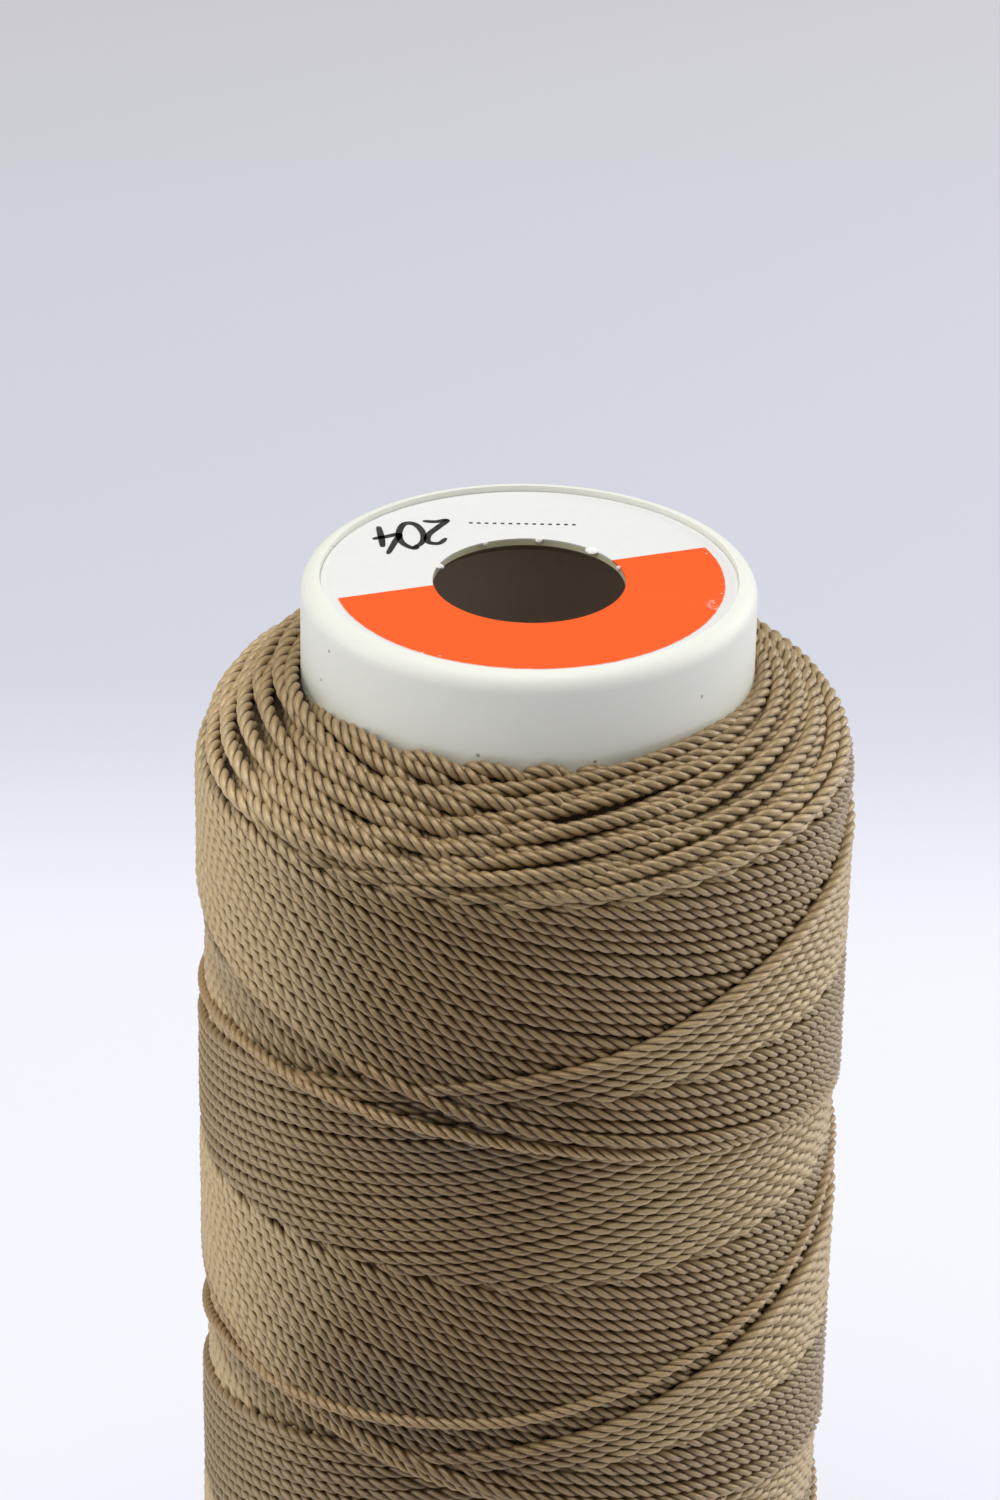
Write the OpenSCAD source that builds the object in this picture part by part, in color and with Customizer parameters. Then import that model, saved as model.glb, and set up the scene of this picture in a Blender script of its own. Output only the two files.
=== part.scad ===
// Spool of waxed sewing thread: a paperboard tube with a moulded cap at each
// end, a round label on the head, and one thread cross-wound over the whole.
// The spool stands on its foot at z = 0, with its axis along Z.

/* [Spool] */
// Height from the standing ring to the rim of the head
spool_h = 125; // [112:1:140]
// Outer diameter of the head and of both cap skirts
head_d = 35; // [34:0.5:37]
// Radius of the rounded rim of the head
rim_round = 1.4; // [0.6:0.1:1.4]
// Thickness of the cap skirts
skirt_wall = 1.5; // [1.2:0.1:2.4]
// How far the skirt of the head reaches down from the rim
head_skirt = 18; // [12:0.5:24]
// Thickness of the end wall of the head
head_end = 1.2; // [0.9:0.1:2]
// Thickness left at the edge of its hole, where the wall tapers underneath
lip_t = 0.45; // [0.3:0.05:0.8]

/* [Spindle hole] */
// Diameter of the hole through the head, the label and the foot
bore_d = 14.8; // [8:0.1:20]

/* [Label] */
// Diameter of the paper label
label_d = 31.9; // [28:0.1:32]
// Thickness of the label
label_t = 0.12; // [0.1:0.01:0.3]
// Clearance round the label in its recess
label_gap = 0.1; // [0.05:0.05:0.3]
// Depth of the recess in the head
label_recess = 0.6; // [0.4:0.05:1]
// Diameter of the printed field on the label
field_d = 30; // [24:0.5:31]
// Thickness of the printed layer
ink_t = 0.03; // [0.02:0.01:0.05]
// Bearing of the straight edge of the printed field
field_turn = 19.7; // [0:0.1:45]
// Distance of that edge behind the centre of the hole
field_shift = 1.35; // [0:0.05:3]

/* [Tube] */
// Wall of the paperboard tube
tube_wall = 1.8; // [1.2:0.1:3]
// Clearance between the tube and the cap skirts
tube_fit = 0.05; // [0.02:0.01:0.1]

/* [Foot] */
// Diameter of the foot flange
foot_d = 46; // [42:0.5:50]
// Thickness of the foot flange
foot_t = 2.4; // [2:0.1:3.5]
// Rounding of the edge of the flange
foot_round = 0.8; // [0.4:0.1:0.9]
// How far the skirt of the foot reaches up from the flange
foot_skirt = 14; // [10:0.5:20]
// Width of the ring that the spool stands on
ring_w = 4; // [3:0.5:6]
// Depth of the hollow under the foot
hollow = 0.8; // [0.4:0.1:1.2]
// Width of the slit that holds the end of the thread
slit_w = 0.9; // [0.6:0.1:1.4]
// Depth of the slit from the edge of the flange to its eye
slit_l = 3.2; // [2:0.1:4]
// Diameter of the eye at the end of the slit
slit_eye = 1.6; // [1.5:0.1:2]

/* [Winding] */
// Diameter of the thread
thread_d = 1.25; // [1:0.05:1.3]
// Diameter over the full winding
wound_d = 51.8; // [50:0.1:54]
// Height of the head left bare above the winding
head_bare = 7; // [5:0.5:9]
// Width of the sloping shoulder, across the axis
shoulder_w = 6.5; // [6:0.1:7]
// Height of the sloping shoulder
shoulder_h = 5.8; // [5:0.1:6.5]
// Radius that rounds the shoulder into the body
shoulder_round = 4; // [3.8:0.1:5]
// Radius of the rounded lower edge
edge_r = 2.5; // [1.5:0.1:3]
// Clearance between the winding and the spool
wound_gap = 0.1; // [0.05:0.05:0.3]
// Clearance between the outer turns and the core of the winding
core_gap = 0.25; // [0.15:0.05:0.4]

/* [Turns] */
// Turns laid side by side on the shoulder
shoulder_turns = 4; // [3:1:4]
// Distance between those turns
shoulder_step = 1.7; // [1.7:0.05:1.8]
// Pairs of full strokes, each one down and one up
pairs = 2; // [1:1:2]
// Turns in a pair of strokes
pair_turns = 6; // [5:1:7]
// Distance between neighbouring strokes
stroke_step = 1.9; // [1.85:0.05:2.1]
// Distance between the layers of the rising and of the falling strokes
layer_step = 1.8; // [1.75:0.05:2]
// Distance of the lower turning point above the foot
stroke_foot = 7.5; // [7:0.5:12]
// Angle on each side of a turning point in which the thread bends round
turn_ease = 60; // [40:5:80]
// Angle on each side of a turning point in which it changes layer
climb = 75; // [60:5:90]
// Bearing of the upper turning points
stroke_bearing = 70; // [0:5:355]
// Turns laid side by side at the foot
foot_turns = 1; // [1:1:2]
// Length of each leg of the bend by which an end turns inwards
end_bend = 1.1; // [1:0.05:1.2]

/* [Hidden] */
$fn = 96;
over = 1;                                  // reach of a cut past the face it opens

// Spool
head_r = head_d / 2;
bore_r = bore_d / 2;
foot_r = foot_d / 2;
skirt_in = head_r - skirt_wall;
tube_r = skirt_in - tube_fit;
seat_z = spool_h - label_recess;           // floor of the label's recess
head_under = seat_z - head_end;            // underside of the head's end wall
head_low = spool_h - head_skirt;           // lower edge of the head's skirt
foot_high = foot_t + foot_skirt;           // upper edge of the foot's skirt

// Winding
thread_r = thread_d / 2;
wound_r = wound_d / 2;
wound_low = foot_t + wound_gap;
wound_top = spool_h - head_bare;
pitch = atan(shoulder_h / shoulder_w);     // slope of the shoulder below level
arc_a = 90 - pitch;                        // angle of the arc that rounds it
arc_x = wound_r - shoulder_round;          // centre of that arc
arc_z = wound_top - shoulder_h - shoulder_round * tan(arc_a / 2);
path_r = shoulder_round - thread_r;        // arc that the thread's centre follows
turn_r = wound_r - thread_r;               // radius of the thread's centre on the body
rings = 24;                                // rings in one turn
ring_a = 360 / rings;
sag = turn_r * (1 - cos(ring_a / 2));      // how far a straight piece cuts inwards
core_round = path_r - thread_r - core_gap; // the same arc on the core
core_top = wound_top - thread_d - core_gap;
core_r = turn_r - layer_step - sag - thread_r - core_gap;

// Route of the turns: corners of angle and of distance along the meridian,
// counted from the upper end of the shoulder's arc
arc_len = path_r * arc_a * PI / 180;
start_m = (head_r + thread_d + end_bend - arc_x - path_r * sin(pitch)) / cos(pitch);
top_m = start_m + shoulder_turns * shoulder_step;
low_m = arc_len + arc_z - foot_t - stroke_foot;
end_m = arc_len + arc_z - wound_low - edge_r;
drop = low_m - top_m;                      // length of a full stroke
lead = (2 * drop - stroke_step) / pair_turns;
rate = lead / 360;
last_m = end_m - foot_turns * stroke_step;
pair_a = 360 * pair_turns;
start_a = stroke_bearing - 360 * shoulder_turns;
last_a = stroke_bearing + pairs * pair_a + (last_m - top_m - pairs * stroke_step) / rate;
corners = concat(
    [[start_a, start_m], [stroke_bearing, top_m]],
    [for (k = [0:pairs - 1]) each [
        [stroke_bearing + k * pair_a + drop / rate, low_m + k * stroke_step],
        [stroke_bearing + (k + 1) * pair_a, top_m + (k + 1) * stroke_step]]],
    [[last_a, last_m], [last_a + 360 * foot_turns, end_m]]
);
last = len(corners) - 1;
stations = floor((corners[last][0] - start_a) / ring_a);

// Slope of the route after corner i, in mm per degree
function slope(i) = (corners[i + 1][1] - corners[i][1]) / (corners[i + 1][0] - corners[i][0]);

// Distance along the meridian at angle a: straight runs, rounded at each corner
function run(a) = lookup(a, corners);
function rounding(a, i) =
    let (near = turn_ease - abs(a - corners[i][0]))
    near > 0 ? (slope(i) - slope(i - 1)) / (4 * turn_ease) * near * near : 0;
function route(a) = run(a) + sum([for (i = [1:last - 1]) rounding(a, i)]);
function sum(v, i = 0) = i < len(v) ? v[i] + sum(v, i + 1) : 0;

// Share of the layer step by which the thread lies deeper at angle a
function ease(t) = let (s = min(max(t, 0), 1)) s * s * (3 - 2 * s);
function passed(a, i) = ease((a - corners[i][0] + climb) / (2 * climb));
function depth(a) = sum([for (k = [0:pairs - 1]) passed(a, 2 + 2 * k) - passed(a, 3 + 2 * k)]);

// Point of the thread's centre at angle a: on the slope, on the arc or on the body
function place(a) =
    let (m = route(a), r = path_r - layer_step * depth(a),
         q = pitch + arc_a * min(max(m / arc_len, 0), 1),
         out = arc_x + r * sin(q) + min(m, 0) * cos(pitch),
         up = arc_z + r * cos(q) - min(m, 0) * sin(pitch) - max(m - arc_len, 0))
    [out * cos(a), out * sin(a), up];

// End of the thread: a bend from the path at p, then straight in to radius r
function bend(p, a, way, r) =
    let (out = norm([p[0], p[1]]), b = a + way * atan(end_bend / out),
         ray = [cos(b), sin(b), 0], up = [0, 0, p[2]], far = out / cos(b - a),
         knee = ray * far + up, foot = ray * (far - end_bend) + up)
    concat([for (t = [0.25, 0.5, 0.75]) bezier(p, knee, foot, t)],
           [foot, ray * (r + thread_d) + up, ray * r + up]);
function bezier(p, q, s, t) = p * (1 - t) * (1 - t) + q * 2 * t * (1 - t) + s * t * t;
function reversed(v) = [for (i = [len(v) - 1:-1:0]) v[i]];

end_a = start_a + stations * ring_a;
turns = [for (i = [0:stations]) place(start_a + i * ring_a)];
head_end_run = reversed(bend(turns[0], start_a, -1, head_r));
foot_end_run = bend(turns[stations], end_a, 1, core_r);

// Least gap between the thread and itself, on points five to a straight piece
parts = 5;
in_turn = rings * parts;
fine = [for (i = [0:stations - 1], s = [0:parts - 1])
    turns[i] + (turns[i + 1] - turns[i]) * s / parts];
turn_gap = min([for (i = [0:len(fine) - 1], j = [i + in_turn - 2:in_turn:len(fine) - 1])
    min([for (d = [0:4]) if (j + d < len(fine)) norm(fine[i] - fine[j + d])])]) - thread_d;
head_end_gap = min([for (p = head_end_run, i = [in_turn / 2:len(fine) - 1])
    norm(fine[i] - p)]) - thread_d;
foot_end_gap = min([for (p = foot_end_run, i = [0:len(fine) - 1 - in_turn / 2])
    norm(fine[i] - p)]) - thread_d;

// Tube of six sides along the points in path
module thread(path) {
    sides = 6;
    n = len(path);
    function along(i) = let (v = path[min(i + 1, n - 1)] - path[max(i - 1, 0)]) v / norm(v);
    function unit(v) = v / norm(v);
    points = [for (i = [0:n - 1])
        let (t = along(i), v = unit([0, 0, 1] - t * t[2]), u = cross(v, t))
        for (k = [0:sides - 1])
            path[i] + thread_r * (u * cos(60 * k) + v * sin(60 * k))];
    walls = [for (i = [0:n - 2], k = [0:sides - 1])
        let (a = i * sides + k, b = i * sides + (k + 1) % sides)
        each [[a, b, a + sides], [b, b + sides, a + sides]]];
    caps = [for (k = [1:sides - 2]) each [
        [0, k + 1, k],
        [(n - 1) * sides, (n - 1) * sides + k, (n - 1) * sides + k + 1]]];
    polyhedron(points, concat(walls, caps), convexity = 10);
}

// Rounded rectangle from the axis to radius r, with its upper outer corner round
module round_top(r, h, c) {
    square([r, h - c]);
    square([r - c, h]);
    translate([r - c, h - c]) circle(c);
}

module core_tube() {
    color("saddlebrown")
    translate([0, 0, foot_t])
    difference() {
        cylinder(r = tube_r, h = head_under - foot_t);
        translate([0, 0, -over])
            cylinder(r = tube_r - tube_wall, h = head_under - foot_t + 2 * over);
    }
}

// Moulded cap: rounded rim, shallow recess for the label, and a hole whose
// wall tapers underneath to a thin lip
module head_cap() {
    recess_r = label_d / 2 + label_gap;
    taper = head_end - lip_t;
    color("white")
    rotate_extrude()
    difference() {
        translate([0, head_low]) round_top(head_r, head_skirt, rim_round);
        translate([0, seat_z]) square([recess_r, label_recess + over]);
        translate([0, head_low - over]) square([skirt_in, head_under - head_low + over]);
        translate([0, head_low - over]) square([bore_r, head_skirt + 2 * over]);
        polygon([[bore_r - over, head_under - over], [bore_r + taper + over, head_under - over],
                 [bore_r - over, head_under + taper + over]]);
    }
}

// Moulded cap: a flange to stand on, hollow underneath inside its ring, with a
// slit in its edge that pinches the end of the thread
module foot_cap() {
    color("white")
    difference() {
        rotate_extrude()
        difference() {
            union() {
                translate([0, foot_round]) square([foot_r, foot_t - 2 * foot_round]);
                square([foot_r - foot_round, foot_t]);
                for (z = [foot_round, foot_t - foot_round])
                    translate([foot_r - foot_round, z]) circle(foot_round);
                square([head_r, foot_high]);
            }
            translate([0, -over]) square([foot_r - ring_w, hollow + over]);
            translate([0, -over]) square([bore_r, foot_high + 2 * over]);
            translate([0, foot_t]) square([skirt_in, foot_skirt + over]);
        }
        rotate([0, 0, stroke_bearing])
        translate([0, 0, -over]) {
            translate([foot_r - slit_l, -slit_w / 2, 0])
                cube([slit_l + over, slit_w, foot_t + 2 * over]);
            translate([foot_r - slit_l, 0, 0]) cylinder(d = slit_eye, h = foot_t + 2 * over);
        }
    }
}

// Paper disc with one printed field that ends at a straight edge
module top_label() {
    difference() {
        union() {
            color("white") translate([0, 0, seat_z]) cylinder(d = label_d, h = label_t);
            color("orangered")
            translate([0, 0, seat_z + label_t])
            linear_extrude(ink_t)
            intersection() {
                circle(d = field_d);
                rotate([0, 0, field_turn])
                    translate([-field_d, field_shift - 2 * field_d])
                    square([2 * field_d, 2 * field_d]);
            }
        }
        translate([0, 0, seat_z - over]) cylinder(r = bore_r, h = label_t + ink_t + 2 * over);
    }
}

// Inner mass of the winding, which fills the space round the tube and the
// skirts, and carries the outer turns
module winding_core() {
    step_z = arc_z - (arc_x + core_round - core_r);    // where the body widens
    slope_x = arc_x + core_round * sin(pitch);
    slope_z = arc_z + core_round * cos(pitch);
    color("tan")
    rotate_extrude()
    difference() {
        union() {
            translate([0, wound_low + edge_r]) square([core_r, step_z - wound_low - edge_r]);
            translate([0, wound_low]) square([core_r - edge_r, edge_r + over]);
            translate([core_r - edge_r, wound_low + edge_r]) circle(edge_r);
            polygon([[0, step_z - over], [core_r, step_z - over], [core_r, step_z],
                     [arc_x + core_round, arc_z], [slope_x, slope_z],
                     [slope_x - (core_top - slope_z) / tan(pitch), core_top], [0, core_top]]);
            intersection() {
                translate([arc_x, arc_z]) circle(core_round);
                translate([0, arc_z]) square([wound_r, core_round]);
            }
        }
        square([tube_r + wound_gap, spool_h]);
        square([head_r + wound_gap, foot_high + wound_gap]);
        translate([0, head_low - wound_gap]) square([head_r + wound_gap, head_skirt]);
    }
}

// Outer turns of the winding, one unbroken thread: side by side over the
// shoulder, then in crossing strokes between the head and the foot
module outer_turns() {
    echo("turns", (end_a - start_a) / 360, "lead", lead);
    echo("least gap between turns", turn_gap, "at the head end", head_end_gap,
         "at the foot end", foot_end_gap);
    color("burlywood") thread(concat(head_end_run, turns, foot_end_run));
}

core_tube();
head_cap();
foot_cap();
top_label();
winding_core();
outer_turns();
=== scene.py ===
import math

import bpy
import numpy as np
from mathutils import Matrix, Vector


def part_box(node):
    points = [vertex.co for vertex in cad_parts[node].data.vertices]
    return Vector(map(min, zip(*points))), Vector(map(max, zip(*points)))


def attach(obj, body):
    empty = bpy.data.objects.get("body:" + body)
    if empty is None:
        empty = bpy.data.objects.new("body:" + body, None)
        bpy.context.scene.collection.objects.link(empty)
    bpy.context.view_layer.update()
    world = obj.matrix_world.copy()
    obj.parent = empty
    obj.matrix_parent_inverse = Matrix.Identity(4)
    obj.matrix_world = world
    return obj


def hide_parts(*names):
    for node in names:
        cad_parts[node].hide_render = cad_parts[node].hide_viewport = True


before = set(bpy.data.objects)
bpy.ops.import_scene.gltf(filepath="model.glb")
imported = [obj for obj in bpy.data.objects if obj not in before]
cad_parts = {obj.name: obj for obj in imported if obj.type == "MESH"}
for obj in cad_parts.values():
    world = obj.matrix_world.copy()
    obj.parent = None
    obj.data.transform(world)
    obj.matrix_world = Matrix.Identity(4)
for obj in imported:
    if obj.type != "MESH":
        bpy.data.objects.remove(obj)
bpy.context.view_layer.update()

MM = 0.001


# ---------------------------------------------------------------- core tube
# The tube that carries the winding: wound paperboard, pale brown and matt,
# with the spiral joint of its plies inside. Both caps are pressed onto it.

class Wire:
    """A shader socket on which plain arithmetic adds Math nodes."""

    def __init__(self, finish, socket):
        self.finish, self.socket = finish, socket

    def math(self, operation, *values):
        return self.finish.node("Math", {"operation": operation}, dict(enumerate(values)))

    def __add__(self, other): return self.math("ADD", self, other)
    def __radd__(self, other): return self.math("ADD", other, self)
    def __sub__(self, other): return self.math("SUBTRACT", self, other)
    def __rsub__(self, other): return self.math("SUBTRACT", other, self)
    def __mul__(self, other): return self.math("MULTIPLY", self, other)
    def __rmul__(self, other): return self.math("MULTIPLY", other, self)
    def __truediv__(self, other): return self.math("DIVIDE", self, other)
    def __rtruediv__(self, other): return self.math("DIVIDE", other, self)
    def __pow__(self, other): return self.math("POWER", self, other)
    def __rpow__(self, other): return self.math("POWER", other, self)


class Finish:
    """A material: one Principled shader and the nodes that feed it."""

    def __init__(self, name, **constants):
        self.material = bpy.data.materials.new(name)
        self.material.use_nodes = True
        self.tree = self.material.node_tree
        self.shader = self.tree.nodes["Principled BSDF"]
        for socket, value in constants.items():
            self.shader.inputs[socket.replace("_", " ")].default_value = value

    def node(self, kind, settings=None, inputs=None, out=0):
        made = self.tree.nodes.new("ShaderNode" + kind)
        for key, value in (settings or {}).items():
            setattr(made, key, value)
        for key, value in (inputs or {}).items():
            self.put(made.inputs[key], value)
        return Wire(self, made.outputs[out])

    def put(self, socket, value):
        if isinstance(value, Wire):
            self.tree.links.new(value.socket, socket)
        else:
            socket.default_value = value

    def feed(self, socket, value):
        self.put(self.shader.inputs[socket], value)

    def blend(self, share, first, second):
        return self.node("Mix", {"data_type": "RGBA"}, {0: share, 6: first, 7: second}, out=2)

    def place(self):
        return self.node("TexCoord", out=3)

    def parts(self, vector):
        return [self.node("SeparateXYZ", None, {0: vector}, out=k) for k in range(3)]

    def join(self, x, y, z):
        return self.node("CombineXYZ", None, {0: x, 1: y, 2: z})

    def stretch(self, vector, scale):
        return self.node("Mapping", None, {"Vector": vector, "Scale": scale})

    def noise(self, vector, scale, detail=2.0, roughness=0.5):
        return self.node("TexNoise", None, {"Vector": vector, "Scale": scale, "Detail": detail,
                                            "Roughness": roughness})

    def step(self, value, low, high):
        return self.node("MapRange", {"interpolation_type": "SMOOTHSTEP"},
                         {"Value": value, "From Min": low, "From Max": high})

    def near(self, spot, centre, size):
        """1 at a point given in mm, fading to 0 at the given distance from it."""
        gap = self.node("VectorMath", {"operation": "DISTANCE"},
                        {0: spot, 1: [c * MM for c in centre]}, out=1)
        return 1.0 - self.step(gap, 0.35 * size * MM, size * MM)

    def bump(self, height, strength, distance):
        self.feed("Normal", self.node("Bump", None, {"Height": height, "Strength": strength,
                                                     "Distance": distance}))


def tone(red, green, blue):
    """A colour given as screen values from 11 to 255."""
    linear = [((c / 255 + 0.055) / 1.055) ** 2.4 for c in (red, green, blue)]
    return (*linear, 1.0)


def dress(name, finish):
    node = bpy.data.objects[name]
    if not node.material_slots:
        node.data.materials.append(finish.material)
    for held in node.material_slots:
        held.material = finish.material


PLY_CLIMB = 55.0            # mm that the spiral joint of the board climbs in a turn

board = Finish("paperboard", Roughness=0.9)
spot = board.place()
across, along, up = board.parts(spot)
bearing = board.node("Math", {"operation": "ARCTAN2"}, {0: along, 1: across}) / (2 * math.pi)
climbed = board.node("Math", {"operation": "FRACT"}, {0: up / (PLY_CLIMB * MM) + bearing})
joint = board.step(climbed, 0.0, 0.012) * (1.0 - board.step(climbed, 0.016, 0.03))
pulp = board.noise(board.stretch(spot, (1.0, 1.0, 0.35)), 900.0, 4.0, 0.65)
cloud = board.noise(spot, 60.0, 2.0)
brown = board.blend(pulp, tone(196, 182, 170), tone(212, 198, 186))
brown = board.blend(cloud * 0.4, brown, tone(186, 170, 156))
# Painted light: the side of the tube's inside that light through the hole reaches is painted
# lighter
brown = board.blend(board.step(across, 4 * MM, -12 * MM) * 0.9, brown, tone(252, 240, 232))
board.feed("Base Color", board.blend(joint * 0.6, brown, tone(150, 134, 118)))
board.bump(pulp * 0.6 - joint, 0.35, 0.12 * MM)
dress("core_tube", board)


# ----------------------------------------------------------------- foot cap
# The cap that the spool stands on: injection-moulded white plastic, pressed
# over the lower end of the tube. A slit in its flange holds the thread's end.

DUST_CELLS = 210.0          # cells in a metre, each with one grain of dust or none


def moulded(name, marks=(), hole=None):
    """White moulded plastic with faint flow lines, fine dust and a few dark marks.
    Within the radius of its hole it has painted shade: dark brown below the given height, a shaded
    olive white above."""
    finish = Finish(name, IOR=1.49, Subsurface_Weight=0.08, Subsurface_Scale=0.8 * MM)
    spot = finish.place()
    flow = finish.noise(finish.stretch(spot, (1.0, 1.0, 2.5)), 55.0, 3.0, 0.6)
    grain = finish.noise(spot, 2600.0, 3.0, 0.6)
    white = finish.blend(flow, tone(234, 236, 226), tone(241, 242, 234))
    cells = {"Vector": spot, "Scale": DUST_CELLS}
    from_centre = finish.node("TexVoronoi", None, cells)
    pick = finish.node("TexVoronoi", None, cells, out=1)
    rare = finish.step(finish.parts(pick)[0], 0.93, 0.96)
    speck = (1.0 - finish.step(from_centre, 0.03, 0.075)) * rare
    for place, size in marks:
        speck = speck + finish.near(spot, place, size)
    if hole:
        radius, lip = hole
        across, along, up = finish.parts(spot)
        inside = 1.0 - finish.step((across * across + along * along) ** 0.5,
                                   (radius - 0.1) * MM, (radius + 0.1) * MM)
        # Painted shade: dark brown on the hole's wall, a shaded olive white on its lip
        wall = finish.blend(finish.step(up, (lip - 0.05) * MM, (lip + 0.05) * MM),
                            tone(140, 123, 104), tone(212, 207, 176))
        white = finish.blend(inside, white, wall)
    finish.feed("Base Color", finish.blend(speck * 0.75, white, tone(120, 112, 98)))
    finish.feed("Roughness", 0.36 + grain * 0.16)
    finish.bump(grain * 0.35 + flow * 0.65, 0.18, 0.06 * MM)
    return finish


dress("foot_cap", moulded("foot_plastic"))


# ----------------------------------------------------------------- head cap
# The cap at the top: the same white plastic, with a rounded rim, a shallow
# recess for the label and a hole for the spindle. It is pressed on the tube.

# Place and size, in mm, of the small dark marks on its side
HEAD_MARKS = (((-14.97, -9.06, 122.7), 0.2), ((-15.62, -7.89, 119.7), 0.18),
              ((-3.63, -17.12, 118.35), 0.22), ((13.02, -11.69, 120.8), 0.19),
              ((5.06, -16.75, 117.8), 0.2))
HOLE = (8.3, 123.92)        # radius that takes in the hole's wall, and height of its lip

dress("head_cap", moulded("head_plastic", HEAD_MARKS, HOLE))


# ---------------------------------------------------------------- top label
# A round label of coated paper glued in the recess of the head: white, with
# one orange printed field that ends at a straight edge beside the hole.

LABEL_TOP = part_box("top_label")[1][2]
LABEL_EDGE_TURN = math.radians(19.7)
LABEL_EDGE = 1.35 * MM      # distance of the field's edge behind the centre
LABEL_FIELD = 15.0 * MM     # radius of the printed field
CHIP = (14.5, -3.7, 124.5)  # a worn spot on the field, mm
CHIP_SIZE = 1.3

label = Finish("label_paper", Specular_IOR_Level=0.3)
spot = label.place()
across, along, _ = label.parts(spot)
beside = along * math.cos(LABEL_EDGE_TURN) - across * math.sin(LABEL_EDGE_TURN)
out = (across * across + along * along) ** 0.5
ragged = label.noise(spot, 1500.0, 3.0) * (0.1 * MM)
inked = ((1.0 - label.step(beside + ragged, LABEL_EDGE, LABEL_EDGE + 0.12 * MM))
         * (1.0 - label.step(out + ragged, LABEL_FIELD - 0.02 * MM, LABEL_FIELD + 0.1 * MM)))
fibre = label.noise(spot, 1200.0, 4.0, 0.7)
cloud = label.noise(spot, 130.0, 3.0)
orange = label.blend(cloud, tone(247, 90, 24), tone(249, 98, 32))
scratch_a = label.noise(label.stretch(spot, (5.0, 1.0, 1.0)), 420.0, 5.0, 0.75)
scratch_b = label.noise(spot, 90.0, 2.0)
worn = label.step(scratch_a * label.step(scratch_b, 0.56, 0.68), 0.56, 0.64)
worn = worn + label.near(spot, CHIP, CHIP_SIZE) * label.step(fibre, 0.45, 0.6) * 0.8
rubbed = label.step(out, LABEL_FIELD - 1.6 * MM, LABEL_FIELD - 0.2 * MM)
nicks = label.step(fibre * rubbed, 0.62, 0.70)
bare = label.node("Math", {"operation": "MAXIMUM"}, {0: worn * 0.85, 1: nicks * 0.8})
white = label.blend(fibre, tone(227, 228, 227), tone(234, 234, 233))
label.feed("Base Color", label.blend(inked * (1.0 - bare), white, orange))
label.feed("Roughness", 0.46 + fibre * 0.14)
label.bump(fibre * 0.5 + inked * (1.0 - bare) * 0.5, 0.12, 0.04 * MM)
dress("top_label", label)


# ------------------------------------------------------------ marker number
# A plain number written on the label with a black felt pen, and the dotted
# line that is printed beside it. The ink lies flat on the paper.

NUMBER_HEIGHT = 4.6
PEN = 0.27                  # half the width of a stroke, mm
PEN_ENDS = 0.75             # share of that width at the ends of a stroke


def pen_stroke(corners):
    """The two edges of one flat pen stroke along corners, in mm on the label."""
    ribbon = np.array(corners, float)
    steps = np.linspace(0, len(ribbon) - 1, 8 * len(ribbon))
    smooth = []
    for t in steps:
        k = min(int(t), len(ribbon) - 2)
        a, b = ribbon[k], ribbon[k + 1]
        before = ribbon[k - 1] if k else 2 * a - b
        after = ribbon[k + 2] if k + 2 < len(ribbon) else 2 * b - a
        u = t - k
        smooth.append(0.5 * (2 * a + (b - before) * u
                             + (2 * before - 5 * a + 4 * b - after) * u ** 2
                             + (3 * a - before - 3 * b + after) * u ** 3))
    smooth = np.array(smooth)
    ahead = np.gradient(smooth, axis=0)
    ahead /= np.linalg.norm(ahead, axis=1)[:, None] + 1e-9
    side = np.stack([-ahead[:, 1], ahead[:, 0]], axis=1)
    share = np.linspace(0, 1, len(smooth))
    width = PEN * (PEN_ENDS + (1 - PEN_ENDS) * np.sin(np.pi * share)) * np.clip(
        np.minimum(share, 1 - share) * 14 + 0.45, 0, 1)
    return smooth + side * width[:, None], smooth - side * width[:, None]


DIGITS = {
    "2": [[(0.05, 0.78), (0.25, 0.98), (0.52, 0.9), (0.5, 0.6), (0.22, 0.28), (0.0, 0.03),
           (0.3, 0.06), (0.62, 0.0)]],
    "4": [[(0.45, 1.0), (0.2, 0.62), (0.02, 0.34), (0.35, 0.36), (0.66, 0.38)],
          [(0.5, 0.72), (0.45, 0.36), (0.42, -0.05)]],
    "0": [[(0.36, 1.0), (0.1, 0.82), (0.02, 0.45), (0.16, 0.08), (0.42, 0.02), (0.6, 0.35),
           (0.58, 0.75), (0.34, 1.01), (0.2, 0.95)]],
}


def mesh_piece(name, points, faces, finish):
    """A new piece of the given points, in mm, and faces."""
    mesh = bpy.data.meshes.new(name)
    mesh.from_pydata([tuple(p) for p in np.asarray(points) * MM], [], faces)
    mesh.materials.append(finish.material)
    piece = bpy.data.objects.new(name, mesh)
    bpy.context.scene.collection.objects.link(piece)
    return piece


def select_only(*pieces):
    bpy.ops.object.select_all(action="DESELECT")
    for piece in pieces:
        piece.select_set(True)
    bpy.context.view_layer.objects.active = pieces[0]


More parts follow.
